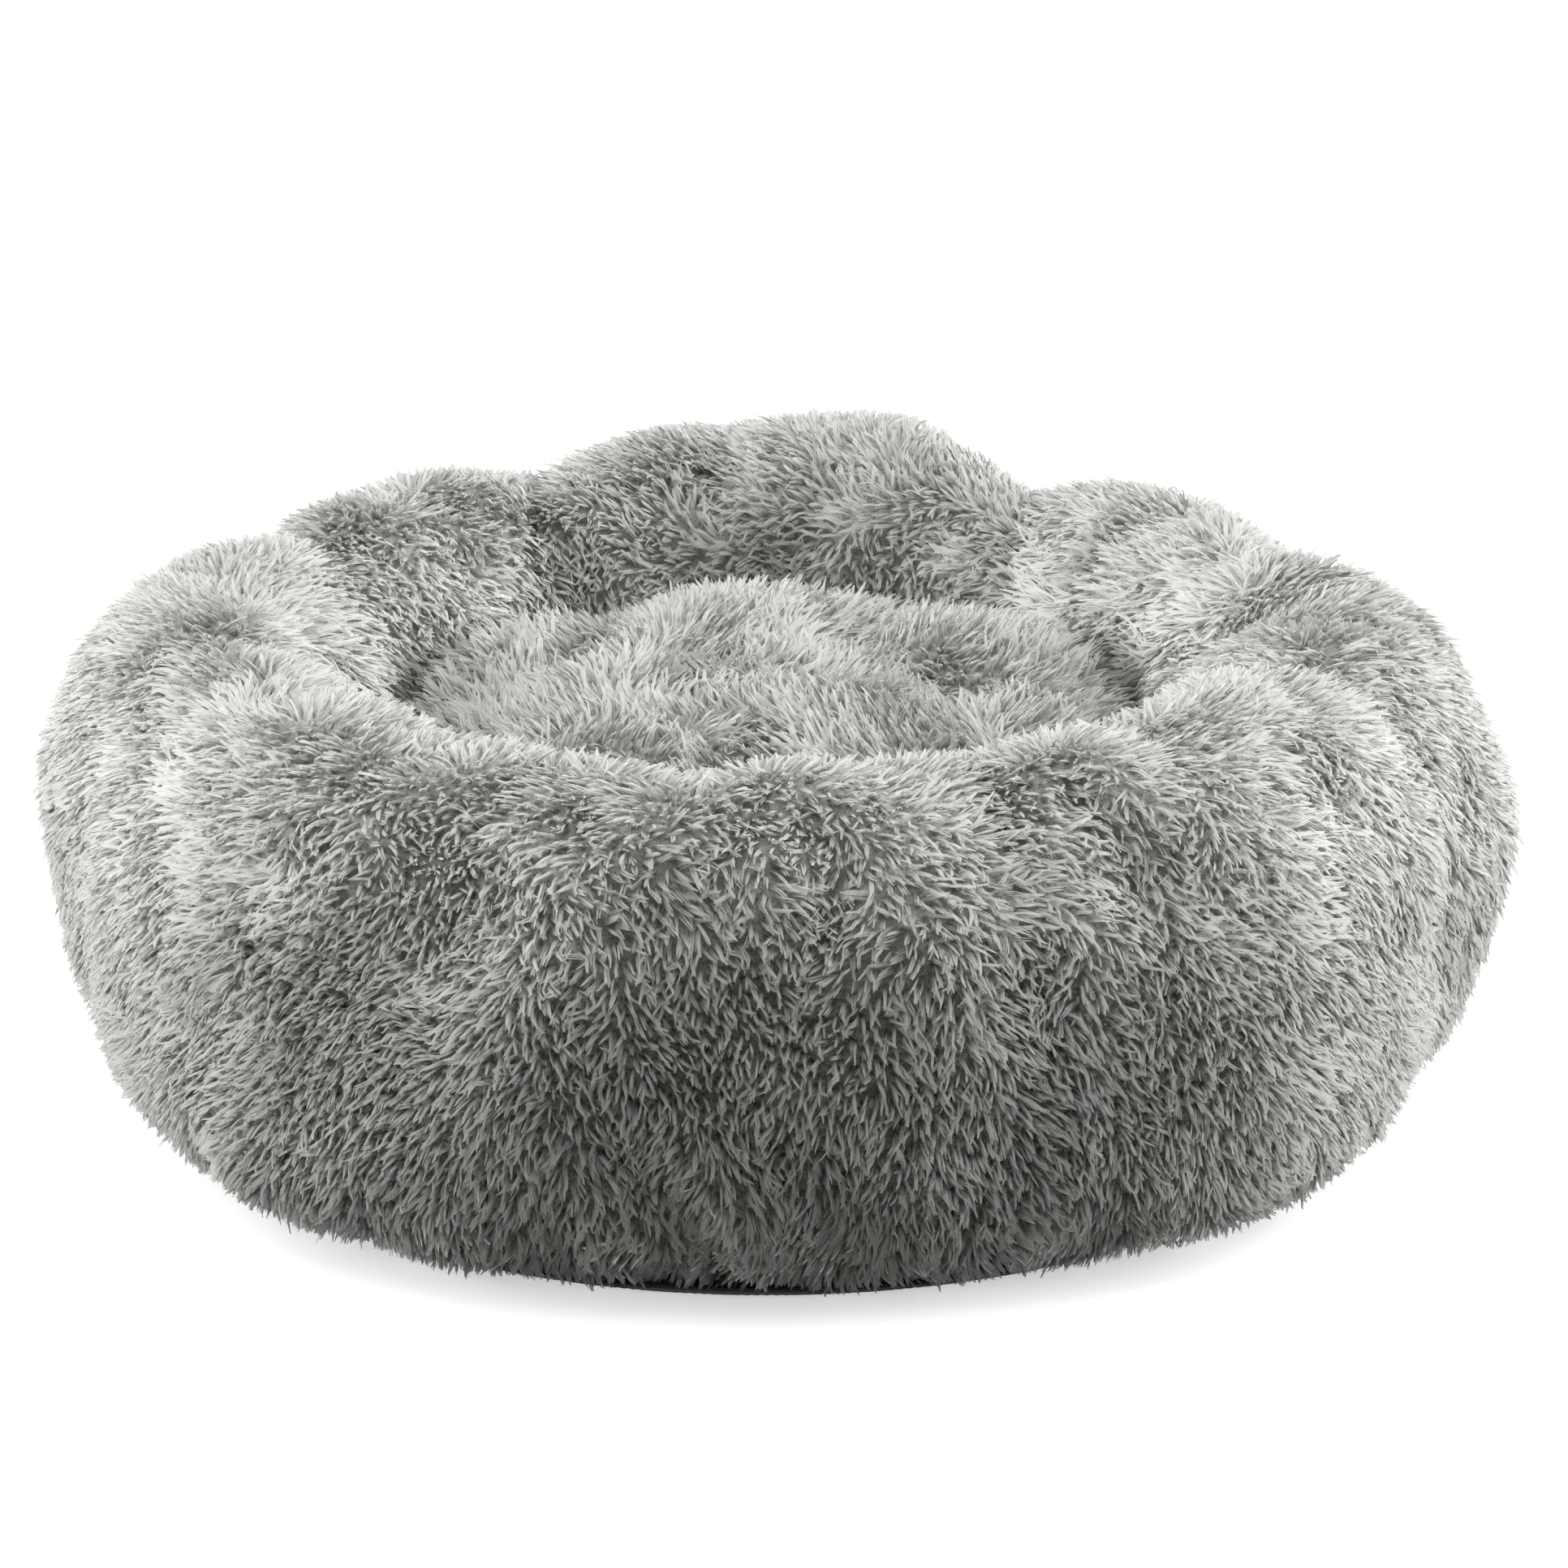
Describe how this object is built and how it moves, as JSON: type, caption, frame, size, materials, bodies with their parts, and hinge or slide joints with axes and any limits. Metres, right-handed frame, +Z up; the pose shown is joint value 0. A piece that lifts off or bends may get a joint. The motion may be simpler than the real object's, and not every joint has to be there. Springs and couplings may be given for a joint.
{
  "type": "pet cushion bed",
  "caption": "Round plush pet bed: a ring of stuffed faux-fur chambers round a deep loose cushion that lifts out, on a non-slip base with a zip.",
  "frame": {"origin": "centre of the bed's underside, on the floor", "axes": "+Z up, +X to the right of someone facing the bed's back chamber, +Y towards the back chamber"},
  "size_m": [0.6, 0.6, 0.2],
  "materials": {
    "fur_cover": "long shaggy grey faux fur",
    "fibre_fill": "loose white fibre",
    "lining_cloth": "plain woven grey lining",
    "base_cloth": "dark woven cloth",
    "binding_tape": "ribbed tape",
    "grip_rubber": "matt rubber",
    "zip_tape": "woven tape",
    "zip_plastic": "matt nylon",
    "zip_metal": "satin grey paint",
    "label_cloth": "blank satin ribbon"
  },
  "bodies": {
    "root": {"rim_panel_1": "fur_cover", "rim_panel_2": "fur_cover", "rim_panel_3": "fur_cover", "rim_panel_4": "fur_cover", "rim_panel_5": "fur_cover", "rim_panel_6": "fur_cover", "rim_panel_7": "fur_cover", "rim_panel_8": "fur_cover", "rim_fill_1": "fibre_fill", "rim_fill_2": "fibre_fill", "rim_fill_3": "fibre_fill", "rim_fill_4": "fibre_fill", "rim_fill_5": "fibre_fill", "rim_fill_6": "fibre_fill", "rim_fill_7": "fibre_fill", "rim_fill_8": "fibre_fill", "rim_divider_1": "lining_cloth", "rim_divider_2": "lining_cloth", "rim_divider_3": "lining_cloth", "rim_divider_4": "lining_cloth", "rim_divider_5": "lining_cloth", "rim_divider_6": "lining_cloth", "rim_divider_7": "lining_cloth", "rim_divider_8": "lining_cloth", "base_cloth": "base_cloth", "base_binding": "binding_tape", "grip_dots": "grip_rubber", "well_floor": "lining_cloth", "inner_binding": "binding_tape", "zip_tape_left": "zip_tape", "zip_teeth_left": "zip_plastic", "zip_tape_right": "zip_tape", "zip_teeth_right": "zip_plastic", "zip_top_stops": "zip_metal", "zip_bottom_stop": "zip_metal", "care_label": "label_cloth"},
    "cushion": {"cushion_cover_top": "fur_cover", "cushion_cover_base": "lining_cloth", "cushion_binding": "binding_tape", "cushion_fill": "fibre_fill"},
    "slider": {"zip_slider": "zip_metal"},
    "pull": {"zip_pull": "zip_metal"}
  },
  "joints": [
    {"name": "cushion_lift", "type": "slide", "parent": "root", "child": "cushion", "axis": [0, 0, 1], "range_m": [0, 0.3]},
    {"name": "zip_travel", "type": "slide", "parent": "root", "child": "slider", "axis": [-1, 0, 0], "range_m": [0, 0.18]},
    {"name": "pull_flip", "type": "hinge", "parent": "slider", "child": "pull", "pos_m": [0.09125, 0, 0.0065], "axis": [0, 1, 0], "range_deg": [0, 176]}
  ]
}
